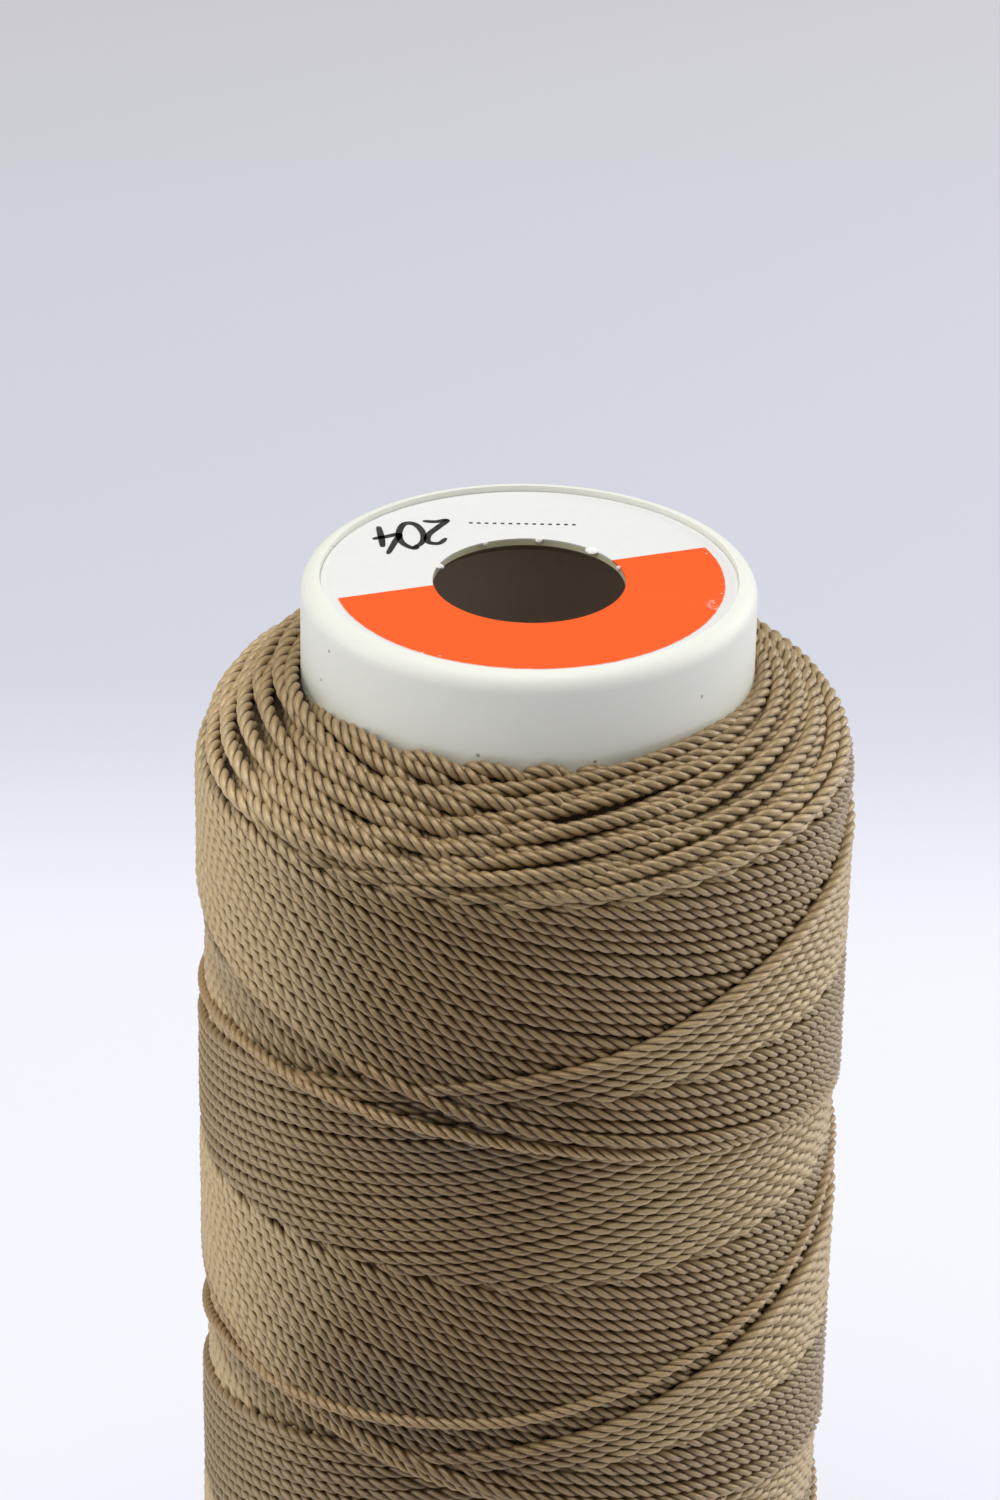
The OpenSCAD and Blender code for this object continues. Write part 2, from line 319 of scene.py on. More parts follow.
def flat_ink(name, ribbons, height, thickness, finish):
    """Thin closed mesh of flat ribbons, each a pair of edges, in mm."""
    points, faces = [], []
    for left, right in ribbons:
        n, base = len(left), len(points)
        for z in (height, height + thickness):
            points += [(x, y, z) for x, y in left] + [(x, y, z) for x, y in right]
        low_l, low_r, top_l, top_r = (base + k * n for k in range(4))
        for i in range(n - 1):
            faces += [(top_l + i, top_r + i, top_r + i + 1, top_l + i + 1),
                      (low_l + i, low_l + i + 1, low_r + i + 1, low_r + i),
                      (low_l + i, top_l + i, top_l + i + 1, low_l + i + 1),
                      (low_r + i, low_r + i + 1, top_r + i + 1, top_r + i)]
        faces += [(low_l, low_r, top_r, top_l),
                  (low_l + n - 1, top_l + n - 1, top_r + n - 1, low_r + n - 1)]
    piece = mesh_piece(name, points, faces, finish)
    select_only(piece)
    bpy.ops.object.mode_set(mode="EDIT")
    bpy.ops.mesh.select_all(action="SELECT")
    bpy.ops.mesh.normals_make_consistent(inside=False)
    bpy.ops.object.mode_set(mode="OBJECT")
    return piece


ink = Finish("pen_ink", Roughness=0.45)
streak = ink.noise(ink.place(), 2500.0, 3.0, 0.6)
ink.feed("Base Color", ink.blend(ink.step(streak, 0.35, 0.75), tone(24, 22, 23), tone(58, 55, 55)))
ink.bump(streak, 0.1, 0.02 * MM)

DIGIT_WIDTH = 0.72          # how much narrower a digit is than drawn above
DIGIT_STEP = 2.05           # from one digit to the next, mm
DIGIT_SLANT = 0.12
NUMBER_PLACE = (-6.5, 10.5)

written = []
for place, digit in enumerate("204"):
    for corners in DIGITS[digit]:
        shape = np.array(corners) * NUMBER_HEIGHT * (0.92 + 0.05 * place)
        shape[:, 0] = shape[:, 0] * DIGIT_WIDTH + place * DIGIT_STEP + shape[:, 1] * DIGIT_SLANT
        turn = math.radians(190 + 4 * place)
        turned = np.stack([shape[:, 0] * math.cos(turn) - shape[:, 1] * math.sin(turn),
                           shape[:, 0] * math.sin(turn) + shape[:, 1] * math.cos(turn)], axis=1)
        written.append(pen_stroke(turned + NUMBER_PLACE))
number = flat_ink("pen_number", written, LABEL_TOP / MM - 0.03, 0.035, ink)
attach(number, "root")

DOTS = 14
DOT_STEP = 0.62
DOT_HALF = (0.14, 0.12)     # half the length and width of a dot, mm
DOTS_FROM = (-4.6, 10.0)

dots = []
for k in range(DOTS):
    x, y = DOTS_FROM[0] + DOT_STEP * k, DOTS_FROM[1]
    left, right = x - DOT_HALF[0], x + DOT_HALF[0]
    back, front = y + DOT_HALF[1], y - DOT_HALF[1]
    dots.append((np.array([(left, back), (right, back)]),
                 np.array([(left, front), (right, front)])))
ruled = flat_ink("printed_dots", dots, LABEL_TOP / MM - 0.035, 0.02, ink)
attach(ruled, "root")


# ------------------------------------------------------------- label shreds
# Where the hole was punched through the label, a few shreds of paper stay on
# its edge and stick out over the hole.

BORE = 7.4 * MM             # radius of the hole
BALL = 0.5 * MM             # radius of the ball that a shred is shaped from
RAGGED = 0.25               # how uneven a shred is
SHRED_FLAT = 0.45
# Angle of each shred on the hole's edge, and how much it is wider and longer than the ball
SHREDS = ((49, 1.15, 1.0), (84, 0.55, 0.5), (162, 0.6, 0.75), (118, 0.35, 0.3), (20, 0.3, 0.35))

shreds = []
for turn, wide, reach in SHREDS:
    bpy.ops.object.select_all(action="DESELECT")
    bpy.ops.mesh.primitive_uv_sphere_add(segments=16, ring_count=10, radius=BALL)
    shred = bpy.context.active_object
    rng = np.random.default_rng(turn)
    for corner in shred.data.vertices:
        corner.co *= 1 + RAGGED * rng.uniform(-1, 1)
        corner.co = Vector((corner.co.x * reach, corner.co.y * wide, corner.co.z * SHRED_FLAT))
    angle = math.radians(turn)
    shred.data.transform(Matrix.Translation(
        ((BORE - 0.1 * MM) * math.cos(angle), (BORE - 0.1 * MM) * math.sin(angle),
         LABEL_TOP - 0.12 * MM)) @ Matrix.Rotation(angle, 4, "Z"))
    shreds.append(shred)
select_only(*shreds)
bpy.ops.object.join()
torn = bpy.context.active_object
torn.name = "label_shreds"
soften = torn.modifiers.new("Soften", "SUBSURF")
soften.levels = soften.render_levels = 1
bpy.ops.object.modifier_apply(modifier="Soften")
bpy.ops.object.shade_smooth()
paper = Finish("paper_pulp", Roughness=0.8)
fluff = paper.noise(paper.place(), 3000.0, 4.0, 0.7)
paper.feed("Base Color", paper.blend(fluff, tone(232, 231, 226), tone(250, 250, 247)))
paper.bump(fluff, 0.4, 0.05 * MM)
torn.data.materials.append(paper.material)
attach(torn, "root")


# ----------------------------------------------------------- winding, inner
# The inner layers of the winding: the same waxed thread in tones darkened as painted shade,
# seen only deep in the gaps between the outer turns.

HEAD_R = 17.5               # radius of the head
LEAD = 33.6                 # mm that a stroke climbs in one turn
CLIMB = LEAD / 360
RISING = 95.2               # height of the newest rising stroke at the front
FALLING = 91.7              # height of the newest falling stroke at the front
TURNED_UP = 1.9             # how far the rising strokes lift on the right
DIPPED = 0.45               # how far the falling strokes dip right of the front
NEWEST = 0.24               # how far the newest layer stands off the outline
LAYER = 0.52                # how much one layer adds to the radius

# Outline of the full winding, foot to head, as radius and height
OUTLINE = [(22.3, 2.56), (23.35, 2.56), (24.3, 2.75), (25.1, 3.28), (25.65, 4.1), (25.85, 5.1),
           (25.85, 60.0), (25.85, 107.6), (25.78, 109.4), (25.55, 110.9), (25.05, 112.1),
           (24.1, 113.4), (22.75, 114.7), (21.3, 115.9), (19.8, 117.0), (18.6, 117.75),
           (17.5, 118.1)]
OUTLINE_STEP = 0.05
ROUNDED = 15                # steps to each side over which its corners are rounded
MIDDLE = 60.0               # height at which the distance along it equals the height


def outline_curve():
    """The outline as a fine polyline: distance, radius, height, normal."""
    corners = np.array(OUTLINE)
    chord = np.concatenate([[0], np.cumsum(np.linalg.norm(np.diff(corners, axis=0), axis=1))])
    fine = np.arange(0, chord[-1], OUTLINE_STEP)
    radius, height = np.interp(fine, chord, corners[:, 0]), np.interp(fine, chord, corners[:, 1])
    kernel = np.hanning(2 * ROUNDED + 1)
    kernel /= kernel.sum()
    for line in (radius, height):
        padded = np.concatenate([2 * line[0] - line[ROUNDED:0:-1], line,
                                 2 * line[-1] - line[-2:-ROUNDED - 2:-1]])
        line[:] = np.convolve(padded, kernel, mode="valid")
    step = np.hypot(np.gradient(radius), np.gradient(height))
    dist = np.cumsum(step) - step[0]
    dist += MIDDLE - np.interp(MIDDLE, height, dist)
    out_r, out_z = np.gradient(height) / step, -np.gradient(radius) / step
    return dist, radius, height, out_r, out_z


RIM_DIST, RIM_R, RIM_Z, RIM_NR, RIM_NZ = outline_curve()
TOP = RIM_DIST[-1]          # distance at which the winding meets the head


def on_outline(theta, dist, proud):
    """Point and outward normal at angle theta (degrees from the front)."""
    radius, height = np.interp(dist, RIM_DIST, RIM_R), np.interp(dist, RIM_DIST, RIM_Z)
    out_r, out_z = np.interp(dist, RIM_DIST, RIM_NR), np.interp(dist, RIM_DIST, RIM_NZ)
    a = np.radians(theta - 90)
    normal = np.stack([out_r * np.cos(a), out_r * np.sin(a), out_z], axis=1)
    normal /= np.linalg.norm(normal, axis=1)[:, None]
    base = np.stack([radius * np.cos(a), radius * np.sin(a), height], axis=1)
    return base + normal * np.asarray(proud)[:, None], normal


def wrapped(theta, lowest=-180):
    """The angle brought into the turn that starts at the lowest one."""
    return np.mod(theta - lowest, 360) + lowest


def smoothstep(low, high, x):
    t = np.clip((x - low) / (high - low), 0, 1)
    return t * t * (3 - 2 * t)


def plateau(x, low, full, drop, end):
    """Rises from 0 to 1 between low and full, falls to 0 again between drop and end."""
    return smoothstep(low, full, x) * (1 - smoothstep(drop, end, x))


def lifted(theta):
    """How much higher the rising strokes run than a plain helix."""
    return TURNED_UP * plateau(wrapped(theta, -60), 8, 66, 110, 230)


def age_rising(theta, dist):
    """Age of the rising stroke at a place: 0 for the newest, 1 for the oldest."""
    return np.mod((RISING + CLIMB * theta + lifted(theta) - dist) / LEAD, 1.0)


def dipped(theta):
    """How much lower the falling strokes run than a plain helix, right of the front."""
    return DIPPED * plateau(wrapped(theta), -26, 2, 45, 100)


def age_falling(theta, dist):
    return np.mod((dist - FALLING + CLIMB * theta + dipped(theta)) / LEAD, 1.0)


def surface(theta, dist):
    """How far the top layer stands off the outline: one layer less for each
    newest stroke that a place still waits for."""
    layers = age_rising(theta, dist) + age_falling(theta, dist)
    body = plateau(dist, 4.5, 9.0, 106.0, 110.5)
    return (NEWEST - LAYER * layers) * body - 0.05 * (1 - body)


bed_finish = Finish("thread_in_shade", Roughness=0.8)
spot = bed_finish.place()
strands = bed_finish.node("TexWave", {"bands_direction": "Z"},
                          {"Vector": spot, "Scale": 310.0, "Distortion": 3.0, "Detail": 2.0},
                          out=1)
bed_finish.feed("Base Color", bed_finish.blend(strands, tone(54, 39, 24), tone(86, 66, 43)))
bed_finish.bump(strands, 0.5, 0.2 * MM)

BED_DEPTH = 1.15            # how deep the mass lies under the top layer
BESIDE_HEAD = HEAD_R + 0.05
FOOT_FACE = 2.46            # height of its lower face
AROUND, ROWS = 180, 190     # its faces round the spool and along the outline
# It is closed down along the head, in under it, down the tube and out again
INSIDE = [(17.56, 115.5), (17.56, 106.9), (16.15, 106.8), (16.15, 16.6), (17.6, 16.4),
          (17.6, FOOT_FACE)]

bed_theta, bed_dist = (grid.ravel() for grid in np.meshgrid(
    np.arange(AROUND) * 360 / AROUND, np.linspace(RIM_DIST[0] + 0.2, TOP - 0.2, ROWS)))
bed_points, _ = on_outline(bed_theta, bed_dist, surface(bed_theta, bed_dist) - BED_DEPTH
                           - 0.2 * smoothstep(102, 107, bed_dist))
bed_radius = np.hypot(bed_points[:, 0], bed_points[:, 1])
too_near = (bed_points[:, 2] > 106) & (bed_radius < BESIDE_HEAD)
bed_points[too_near, :2] *= (BESIDE_HEAD / bed_radius[too_near])[:, None]
bed_points[:, 2] = np.maximum(bed_points[:, 2], FOOT_FACE)
a = np.radians(np.arange(AROUND) * 360 / AROUND - 90)
for radius, height in INSIDE:
    bed_points = np.concatenate([bed_points, np.stack(
        [radius * np.cos(a), radius * np.sin(a), np.full(AROUND, height)], axis=1)])
rings = [*range(ROWS + len(INSIDE)), 0]
bed_faces = [(lower * AROUND + c, lower * AROUND + (c + 1) % AROUND,
              upper * AROUND + (c + 1) % AROUND, upper * AROUND + c)
             for lower, upper in zip(rings[:-1], rings[1:]) for c in range(AROUND)]
bed = mesh_piece("inner_layers", bed_points, bed_faces, bed_finish)
bed.data.polygons.foreach_set("use_smooth", np.ones(len(bed_faces), bool))
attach(bed, "root")
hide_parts("winding_core")


# ------------------------------------------------------------ winding, body
# Waxed sewing thread of three plies with a Z twist, laid under tension in
# rising and falling strokes. Each stroke lies beside the one before, so the
# newest covers the oldest in bands that cross on the front and on the back.

STROKES = 33                # strokes of each direction laid side by side in one lead
BODY_R = 25.85              # radius of the winding's body
LOWEST, HIGHEST = 3.0, 113.5        # how far the strokes are followed, foot to shoulder
THREAD = 1.25               # diameter of the thread
LAY = 3.9                   # length in which a ply goes once round the thread
RING = 0.36                 # distance between the rings of a thread, mm
ARC = math.radians(1) * BODY_R      # one degree round the body, mm
RING_TURN = RING / (ARC * math.hypot(1, CLIMB / ARC))       # degrees from ring to ring
# One ply in the section of the thread: angle in degrees and share of the radius
PLY = [(0, 0.48), (24, 0.85), (60, 1.0), (96, 0.85)]
SECTION = [(math.radians(ply * 120 + a), r) for ply in range(3) for a, r in PLY]
FLAT = 0.84                 # how much the thread narrows between its neighbours
SUNK = 1.08                 # how deep a thread lies under one that crosses it
HIDDEN = 0.98               # share of that depth from which it no longer shows
OLD = (0.76, 0.86)          # ages between which a stroke comes to count as old
TRENCH = 0.38               # how much deeper the threads lie where both strokes are old
BRIDGE = 41                 # rings over which a free thread bridges a step
BEND = 14.0                 # mm from one small random bend of a thread to the next
HALF = 0.58                 # from a dark line of the shoulder to the thread below it
BLUNT = 0.2                 # how softly a thread bends where it reaches such a line
# The dark lines between the bands of the shoulder, as distances below the head
LINES = (0.0, 1.8, 3.9, 5.8, 7.7, 9.6)
LAST_LINE = len(LINES) - 1
FOOT_LINE = 6.3             # distance at which the strokes run in under the foot turns
FOOT_REACH = 2.2
FRESH = 0.35                # warm tint of the newest stroke
FRESH_STROKES = 2.2         # number of strokes that have some of it

lay_rng = np.random.default_rng(7)


def sway(count, reach):
    """Slow random drift along a thread of count rings, of about the given reach."""
    knots = max(int(count * RING / BEND) + 3, 4)
    values = lay_rng.normal(0, 1, knots)
    spots = np.linspace(0, knots - 1, count)
    return np.interp(spots, np.arange(knots), values) * reach


def evened(line, width):
    """The line smoothed over the given number of samples."""
    kernel = np.hanning(width)
    return np.convolve(np.pad(line, width // 2, mode="edge"), kernel / kernel.sum(), mode="valid")


class Run:
    """One visible stretch of thread: its centre line, normals, tint and gleam."""

    def __init__(self, theta, dist, proud, tint, gleam, flat=FLAT, lay=LAY, thick=1.0):
        self.centre, self.normal = on_outline(theta, dist, proud - THREAD / 2)
        self.tint, self.gleam, self.lay = (np.broadcast_to(value, len(theta))
                                           for value in (tint, gleam, lay))
        self.flat, self.thick = flat, thick
        self.start = lay_rng.uniform(0, 2 * math.pi)
        self.shift = lay_rng.uniform(0, 500)


def stretches(keep):
    """First and last index of each stretch where keep is true."""
    edges = np.flatnonzero(np.diff(np.concatenate([[0], keep.astype(int), [0]])))
    return [(a, b) for a, b in zip(edges[::2], edges[1::2]) if b - a > 6]


def lower_gap(theta, line):
    """Distance of a dark line of the shoulder. All but the one at the head are tilted."""
    tilt = 0.86 * np.cos(np.radians(theta)) - 0.62 * np.sin(np.radians(theta))
    return TOP - LINES[line] - (tilt if line else 0.0)


def overhung(theta):
    """1 where a band lies over the one below it, 0 where it runs in under that one."""
    return plateau(wrapped(theta), -150, -110, -72, -38)


def tuck(theta, raw, line):
    """Keep a thread below a dark line of the shoulder, or let it run in under the
    band above; gives its distance and how far it has sunk."""
    over = overhung(theta)
    stop = lower_gap(theta, line) - HALF + 1.3 * over
    dist = stop - BLUNT * np.logaddexp(0.0, (stop - raw) / BLUNT)
    depth = lower_gap(theta, line) - dist
    tucked = (over * (1 - smoothstep(-0.1, 1.25, depth))
              + (1 - over) * smoothstep(0.15, 0.95, raw - stop))
    return dist, tucked


def fresh(age):
    """Warm tint of the newest strokes, which no other thread has pressed on."""
    return FRESH * max(0.0, 1 - age * STROKES / FRESH_STROKES)


def painted_gleam(theta, direction):
    """Painted highlight: falling strokes gleam on the left of the spool, rising ones on the right,
    where their plies lie square to the light. Behind, both gleam half as much."""
    turned = wrapped(theta)
    if direction > 0:
        front = smoothstep(-8, 36, turned) + 0.2 * smoothstep(20, 60, -turned)
    else:
        front = (1.15 * smoothstep(18, 64, -turned)
                 + smoothstep(-10, 22, turned) * (0.24 - 0.14 * smoothstep(38, 60, turned)))
    return front + (0.5 - front) * smoothstep(100, 180, np.abs(turned))


def painted_wrap_shade(turned, dist):
    """Painted shade on the threads that lie low beside the last wrap."""
    return (np.exp(-((turned + 10) / 18) ** 2 - ((dist - 91) / 5.6) ** 2)
            + np.exp(-((turned + 22) / 21) ** 2 - ((dist - 64) / 5.6) ** 2))


def stroke_runs(direction):
    """Visible stretches of all strokes that rise (1) or fall (-1)."""
    rises = direction > 0
    runs = []
    for k in range(STROKES):
        age = (k + 0.02) / STROKES
        if rises:
            level = RISING - age * LEAD
            theta = np.arange((LOWEST - level) / CLIMB - 30, (HIGHEST - level) / CLIMB, RING_TURN)
            dist = level + CLIMB * theta + lifted(theta)
            other = age_falling(theta, dist)
        else:
            level = FALLING + age * LEAD
            theta = np.arange((level - HIGHEST) / CLIMB, (level - LOWEST) / CLIMB, RING_TURN)
            dist = level - CLIMB * theta - dipped(theta)
            other = age_rising(theta, dist)
        turned = wrapped(theta)
        right = smoothstep(10, 50, turned)
        # Where both strokes are old they lie in a trench. On the left only falling ones
        # show in it, and below the shoulder too
        trench = smoothstep(*OLD, np.minimum(other, age))
        falls_show = (trench * (1 - smoothstep(-40, -26, turned))
                      + 0.5 * overhung(theta) * smoothstep(102, 108, dist))
        trench = trench * plateau(turned, -120, -80, 8, 30)
        over = smoothstep(-0.55, 0.55, (other - age - 0.6 * direction * falls_show) * LEAD / 2)
        # Beside the newest stroke that crosses it the thread dives in under that one
        under_newest = ((1 - smoothstep(0.0, 0.36 + 0.34 * right, (1.0 - other) * LEAD))
                        * (1 - 0.45 * right))
        drift = sway(len(theta), 0.05) + lay_rng.normal(0, 0.035)
        lump = sway(len(theta), 0.03)
        sink = (1 - over) ** 1.5 + under_newest * over
        dist, tucked = tuck(theta, dist + drift, LAST_LINE)
        past_foot = FOOT_LINE - dist
        sink = np.maximum.reduce([sink, tucked, smoothstep(0.0, FOOT_REACH, past_foot)])
        dist = np.maximum(dist, FOOT_LINE)
        if k == 0 and not rises:                   # it passes over the newest rising stroke
            sink = sink * (1 - plateau(turned, -34, -27, -8, 4))
        visible = (sink < HIDDEN) & (past_foot < FOOT_REACH)
        below_bands = lower_gap(theta, LAST_LINE) - dist
        proud = (surface(theta, dist - drift) + lump
                 - 0.2 * overhung(theta) * (1 - smoothstep(0.6, 2.2, below_bands)))
        if k == 0:                                 # it bridges the step at each crossing
            proud = evened(proud, BRIDGE)
        proud -= SUNK * sink + TRENCH * trench
        if rises:                                  # the hollow below the newest falling stroke
            proud -= ((0.3 + 0.5 * smoothstep(-26, -14, turned)) * smoothstep(0.86, 0.93, other)
                      * (1 - smoothstep(0.07, 0.14, age)) * plateau(turned, -45, -30, 8, 30))
        tint = np.full(len(theta), fresh(age))
        if k == 0:                                 # the newest stroke lies free on the front
            free = plateau(turned, *((-8, 6, 80, 110) if rises else (-34, -26, 40, 70)))
            proud += (0.16 if rises else 0.32) * free
            tint += FRESH * free * (1 if rises else 1 - smoothstep(-24, 4, turned))
        # Each stretch runs on out of sight for three rings
        grown = visible.copy()
        for reach in range(1, 4):
            grown[reach:] |= visible[:-reach]
            grown[:-reach] |= visible[reach:]
        # Under the overhanging band above them the threads gleam less: painted shade
        gleam = painted_gleam(theta, direction) * (1 - overhung(theta) * (
            1 - smoothstep(0.3, 2.1, below_bands)))
        # Painted shade: in the trench and beside the last wrap the threads are darker
        gleam = gleam * (1 - 0.65 * trench) - painted_wrap_shade(turned, dist)
        for a, b in stretches(grown):
            runs.append(Run(theta[a:b], dist[a:b], proud[a:b], tint[a:b], gleam[a:b]))
    return runs


def thread_mesh(name, runs, finish):
    """Closed tubes of three twisted plies along the runs, in one mesh."""
    sides = len(SECTION)
    angles = np.array([a for a, _ in SECTION])
    shape = np.array([r for _, r in SECTION]) * THREAD / 2
    points, quads, quad_uv, quad_lay, tints, gleams, caps, cap_uv = [[] for _ in range(8)]
    # In the baking map the threads lie end to end, in bands that fill a square
    total = sum(np.linalg.norm(np.diff(run.centre, axis=0), axis=1).sum() for run in runs)
    bands = max(int(math.sqrt(total / (math.pi * THREAD))), 1)
    band_length = total / bands * 1.002 + 0.5
    laid = base = 0
    for run in runs:
        n = len(run.centre)
        ahead = np.gradient(run.centre, axis=0)
        ahead /= np.linalg.norm(ahead, axis=1)[:, None]
        up = np.cross(run.normal, ahead)
        up /= np.linalg.norm(up, axis=1)[:, None]
        out = np.cross(ahead, up)
        steps = np.linalg.norm(np.diff(run.centre, axis=0), axis=1)
        passed = np.concatenate([[0], np.cumsum(steps)])
        twist = run.start - 2 * np.pi * np.concatenate([[0], np.cumsum(steps / run.lay[1:])])
        a = twist[:, None] + angles[None, :]
        radii = shape * run.thick
        taper = np.ones(n)
        taper[0] = taper[-1] = 0.35
        ring = (run.centre[:, None, :]
                + (np.cos(a) * radii * taper[:, None])[..., None] * out[:, None, :]
                + (np.sin(a) * radii * run.flat * taper[:, None])[..., None] * up[:, None, :])
        points.append(ring.reshape(-1, 3))
        i, j = np.meshgrid(np.arange(n - 1), np.arange(sides), indexing="ij")
        i, j = i.ravel(), j.ravel()
        quads.append(base + np.stack([i * sides + j, (i + 1) * sides + j,
                                      (i + 1) * sides + (j + 1) % sides,
                                      i * sides + (j + 1) % sides], axis=1))
        band = np.floor((laid + passed[i]) / band_length)
        u0 = (laid + passed[i] - band * band_length) / (band_length + 1.0)
        u1 = u0 + (passed[i + 1] - passed[i]) / (band_length + 1.0)
        v0, v1 = ((band + 0.04 + 0.92 * edge / sides) / (bands + 1) for edge in (j, j + 1))
        quad_uv.append(np.stack([u0, v0, u1, v0, u1, v1, u0, v1], axis=1).reshape(-1, 2))
        s0, s1 = (passed[i] + run.shift) / 10.0, (passed[i + 1] + run.shift) / 10.0
        t0, t1 = j / sides, (j + 1) / sides
        quad_lay.append(np.stack([s0, t0, s1, t0, s1, t1, s0, t1], axis=1).reshape(-1, 2))
        tints.append(np.repeat(run.tint, sides))
        gleams.append(np.repeat(run.gleam, sides))
        caps += [base + np.arange(sides), base + (n - 1) * sides + np.arange(sides)[::-1]]
        cap_uv += [(u0[0], v0[0]), (u1[-1], v0[-1])]
        base += n * sides
        laid += passed[-1]
    points, quads = np.concatenate(points), np.concatenate(quads)
    loops = np.concatenate([quads.ravel(), np.concatenate(caps)])
    starts = np.concatenate([np.arange(len(quads)) * 4,
                             len(quads) * 4 + np.arange(len(caps)) * sides])
    mesh = bpy.data.meshes.new(name)
    mesh.vertices.add(len(points))
    mesh.vertices.foreach_set("co", (points * MM).ravel())
    mesh.loops.add(len(loops))
    mesh.loops.foreach_set("vertex_index", loops)
    mesh.polygons.add(len(starts))
    mesh.polygons.foreach_set("loop_start", starts)
    mesh.polygons.foreach_set("use_smooth", np.ones(len(starts), bool))
    mesh.update(calc_edges=True)
    end_uv = np.repeat(np.array(cap_uv), sides, axis=0)
    for map_name, values, ends in (("OFBake", np.concatenate(quad_uv), end_uv),
                                   ("Lay", np.concatenate(quad_lay), np.zeros_like(end_uv))):
        mesh.uv_layers.new(name=map_name).data.foreach_set(
            "uv", np.concatenate([values, ends]).ravel())
    for attribute, values in (("fresh", tints), ("painted_light", gleams)):
        mesh.attributes.new(attribute, "FLOAT", "POINT").data.foreach_set(
            "value", np.concatenate(values))
    mesh.materials.append(finish.material)
    mesh.validate()
    piece = bpy.data.objects.new(name, mesh)
    bpy.context.scene.collection.objects.link(piece)
    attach(piece, "root")
    return piece


waxed = Finish("waxed_thread", Metallic=0.2, Coat_Roughness=0.26,
               Sheen_Weight=0.35, Sheen_Roughness=0.35, Sheen_Tint=tone(255, 233, 200))
lay = waxed.node("UVMap", {"uv_map": "Lay"})
run_along, run_round, _ = waxed.parts(lay)
angle = run_round * (2 * math.pi)
ply_space = waxed.join(waxed.node("Math", {"operation": "COSINE"}, {0: angle}),
                       waxed.node("Math", {"operation": "SINE"}, {0: angle}), run_along * 1.6)
fibres = waxed.noise(ply_space, 9.0, 3.0, 0.6)
mottle = waxed.noise(waxed.join(run_along * 2.2, 0.0, 3.0), 1.6, 3.0, 0.6)
spot = waxed.place()
patch = waxed.noise(spot, 75.0, 2.0)
newer = waxed.node("Attribute", {"attribute_name": "fresh"}, out=2)
painted_light = waxed.node("Attribute", {"attribute_name": "painted_light"}, out=2)
crest = waxed.node("Math", {"operation": "ABSOLUTE"},
                   {0: waxed.node("Math", {"operation": "SINE"}, {0: angle * 1.5})})
deep = 1.0 - waxed.step(crest, 0.0, 0.74)
ridge = waxed.step(crest, 0.6, 1.0)
# Painted sheen: at the sides of the winding, left and right, the thread is lighter and its grooves
# show less
across, _, up = waxed.parts(spot)
side_sheen = (waxed.step((across * across) ** 0.5, 12 * MM, 22 * MM)
         * (1.0 - waxed.step(up, 107 * MM, 111 * MM)))
khaki = waxed.blend(waxed.step(mottle, 0.3, 0.7), tone(118, 91, 52), tone(134, 106, 63))
khaki = waxed.blend(patch * 0.35, khaki, tone(110, 93, 63))
# Painted shade: the lower part of the winding is darker
khaki = waxed.blend((1.0 - waxed.step(up, 42 * MM, 80 * MM)) * 0.75, khaki, tone(88, 68, 40))
khaki = waxed.blend(side_sheen * 0.3, khaki, tone(180, 156, 118))
# Painted light: a value above 0 lightens the thread as painted highlight, one below 0 darkens it
# as painted shade
khaki = waxed.blend(painted_light * 0.85, khaki, tone(207, 182, 139))
khaki = waxed.blend(painted_light * -0.8, khaki, tone(70, 52, 30))
khaki = waxed.blend(newer * 0.4, khaki, tone(172, 131, 79))
khaki = waxed.blend(waxed.step(fibres, 0.42, 0.66) * 0.3, khaki, tone(162, 141, 100))
# Painted highlight on the crest of each ply
khaki = waxed.blend(ridge * 0.25, khaki, tone(196, 170, 126))
# Painted shade in the grooves between the plies
waxed.feed("Base Color", waxed.blend(deep * (0.92 - side_sheen * 0.4), khaki, tone(54, 35, 16)))
waxed.feed("Roughness", 0.34 + fibres * 0.16 + deep * 0.4)
waxed.feed("Coat Weight", 0.36 - deep * 0.36)
waxed.bump(fibres, 0.4, 0.03 * MM)

PIECE_LENGTH = 2900.0       # most thread in one piece, mm


def wound_pieces(name, runs):
    """Share the runs out to pieces that stay small enough."""
    shares, held = [[]], 0.0
    for run in runs:
        length = len(run.centre) * RING
        if held + length > PIECE_LENGTH:
            shares.append([])
            held = 0.0
        shares[-1].append(run)
        held += length
    return [thread_mesh(f"{name}_{k}", share, waxed) for k, share in enumerate(shares, 1)]


wound_pieces("rising_strokes", stroke_runs(1))
wound_pieces("falling_strokes", stroke_runs(-1))


# -------------------------------------------------------- winding, shoulder
# Where the strokes turn back beside the head they pile up in five bands, each
# two threads wide. A band's lower threads go in under the band below.

BAND_STEP = 1.2             # distance between neighbours in a band
BAND_TURN = 0.95            # degrees between the rings of a thread in a band
BAND_EDGE = 0.6             # from a dark line to the edge of the band above it
BAND_SUNK = 1.15            # how deep a thread lies where it goes in under a band
BAND_FLAT, BAND_THICK = 0.97, 1.04
# Angle at which the last thread from the right comes out from under each line
LAST_OUT = (46.0, 42.0, 30.0, 22.0, 10.0)
# How much more each band gleams where it lies over the next one: painted highlight, or painted
# shade where below 0
BAND_GLEAM = (-0.3, -0.15, 0.22, 0.5, 0.6)


def slid(theta, left):
    """How far a thread has moved down its band by angle theta, coming from the back."""
    fine = np.arange(-180.0, 181.0)
    if left:
        rate = np.interp(fine, (-180, -110, -90, -40, 0, 30),
                         (0.0, 0.002, 0.015, 0.07, 0.083, 0.092))
    else:
        rate = -np.interp(fine, (-10, 30, 70, 110, 180), (0.05, 0.032, 0.012, 0.002, 0.0))
    moved = np.cumsum(rate)
    return np.interp(theta, fine, moved - (moved[0] if left else moved[-1]))


def band_lay(side):
    """Length of lay of the threads in a band, longer at the sides than at the front."""
    return 3.25 + 1.4 * smoothstep(20, 65, np.abs(side))


